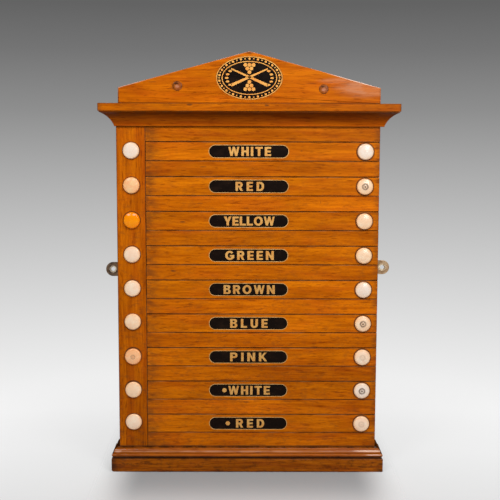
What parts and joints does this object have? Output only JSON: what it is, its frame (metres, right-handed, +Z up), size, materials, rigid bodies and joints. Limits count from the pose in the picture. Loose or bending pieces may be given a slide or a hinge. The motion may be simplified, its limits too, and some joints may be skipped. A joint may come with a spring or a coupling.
{
  "type": "billiard scoreboard",
  "caption": "Wall-hung wooden marking board with horizontal sliding slats that draw out to the right by turned knobs, under a gabled cornice",
  "frame": {"origin": "on the wall plane at the middle of the board's width, midway in height between the two hanging plates' holes", "axes": "+X to the right, the way the slides draw out; +Y into the wall; +Z up; the front faces -Y"},
  "size_m": [0.4874, 0.0754, 0.7015],
  "materials": {
    "case_wood": "satin french polish over straight-grained mahogany",
    "slide_wood": "satin french polish, a little lighter than the case",
    "base_wood": "darker polished mahogany, worn on the edges",
    "back_wood": "unpolished, darkened with age",
    "bone": "polished, turned, cream",
    "peach_bone": "polished, turned, faded pink",
    "amber_bone": "polished, turned, orange yellow",
    "brass": "tarnished",
    "steel": "dull, countersunk screws"
  },
  "bodies": {
    "root": {"back_board": "back_wood", "base_moulding_front": "base_wood", "base_moulding_left": "base_wood", "base_moulding_right": "base_wood", "bottom_rail": "case_wood", "cornice_board": "case_wood", "cove_front": "case_wood", "cove_left": "case_wood", "cove_right": "case_wood", "hanging_plate_left": "brass", "hanging_plate_right": "brass", "left_stile": "case_wood", "marker_blue": "bone", "marker_brown": "bone", "marker_green": "bone", "marker_pink": "peach_bone", "marker_red": "peach_bone", "marker_spot_red": "bone", "marker_spot_white": "bone", "marker_white": "bone", "marker_yellow": "amber_bone", "pediment": "case_wood", "plate_screw_left_1": "steel", "plate_screw_left_2": "steel", "plate_screw_right_1": "steel", "plate_screw_right_2": "steel", "plinth": "base_wood", "plug_left": "slide_wood", "plug_right": "slide_wood", "rail_below_blue": "case_wood", "rail_below_brown": "case_wood", "rail_below_green": "case_wood", "rail_below_pink": "case_wood", "rail_below_red": "case_wood", "rail_below_spot_white": "case_wood", "rail_below_white": "case_wood", "rail_below_yellow": "case_wood", "stop_lath": "back_wood", "top_rail": "case_wood"},
    "slide_white": {"slide_white": "slide_wood", "knob_white": "bone"},
    "slide_red": {"slide_red": "slide_wood", "knob_red": "bone"},
    "slide_yellow": {"slide_yellow": "slide_wood", "knob_yellow": "bone"},
    "slide_green": {"slide_green": "slide_wood", "knob_green": "bone"},
    "slide_brown": {"slide_brown": "slide_wood", "knob_brown": "bone"},
    "slide_blue": {"slide_blue": "slide_wood", "knob_blue": "bone"},
    "slide_pink": {"slide_pink": "slide_wood", "knob_pink": "bone"},
    "slide_spot_white": {"slide_spot_white": "slide_wood", "knob_spot_white": "bone"},
    "slide_spot_red": {"slide_spot_red": "slide_wood", "knob_spot_red": "bone"}
  },
  "joints": [
    {"name": "draw_white", "type": "slide", "parent": "root", "child": "slide_white", "axis": [1, 0, 0], "range_m": [0, 0.1]},
    {"name": "draw_red", "type": "slide", "parent": "root", "child": "slide_red", "axis": [1, 0, 0], "range_m": [0, 0.1]},
    {"name": "draw_yellow", "type": "slide", "parent": "root", "child": "slide_yellow", "axis": [1, 0, 0], "range_m": [0, 0.1]},
    {"name": "draw_green", "type": "slide", "parent": "root", "child": "slide_green", "axis": [1, 0, 0], "range_m": [0, 0.1]},
    {"name": "draw_brown", "type": "slide", "parent": "root", "child": "slide_brown", "axis": [1, 0, 0], "range_m": [0, 0.1]},
    {"name": "draw_blue", "type": "slide", "parent": "root", "child": "slide_blue", "axis": [1, 0, 0], "range_m": [0, 0.1]},
    {"name": "draw_pink", "type": "slide", "parent": "root", "child": "slide_pink", "axis": [1, 0, 0], "range_m": [0, 0.1]},
    {"name": "draw_spot_white", "type": "slide", "parent": "root", "child": "slide_spot_white", "axis": [1, 0, 0], "range_m": [0, 0.1]},
    {"name": "draw_spot_red", "type": "slide", "parent": "root", "child": "slide_spot_red", "axis": [1, 0, 0], "range_m": [0, 0.1]}
  ]
}
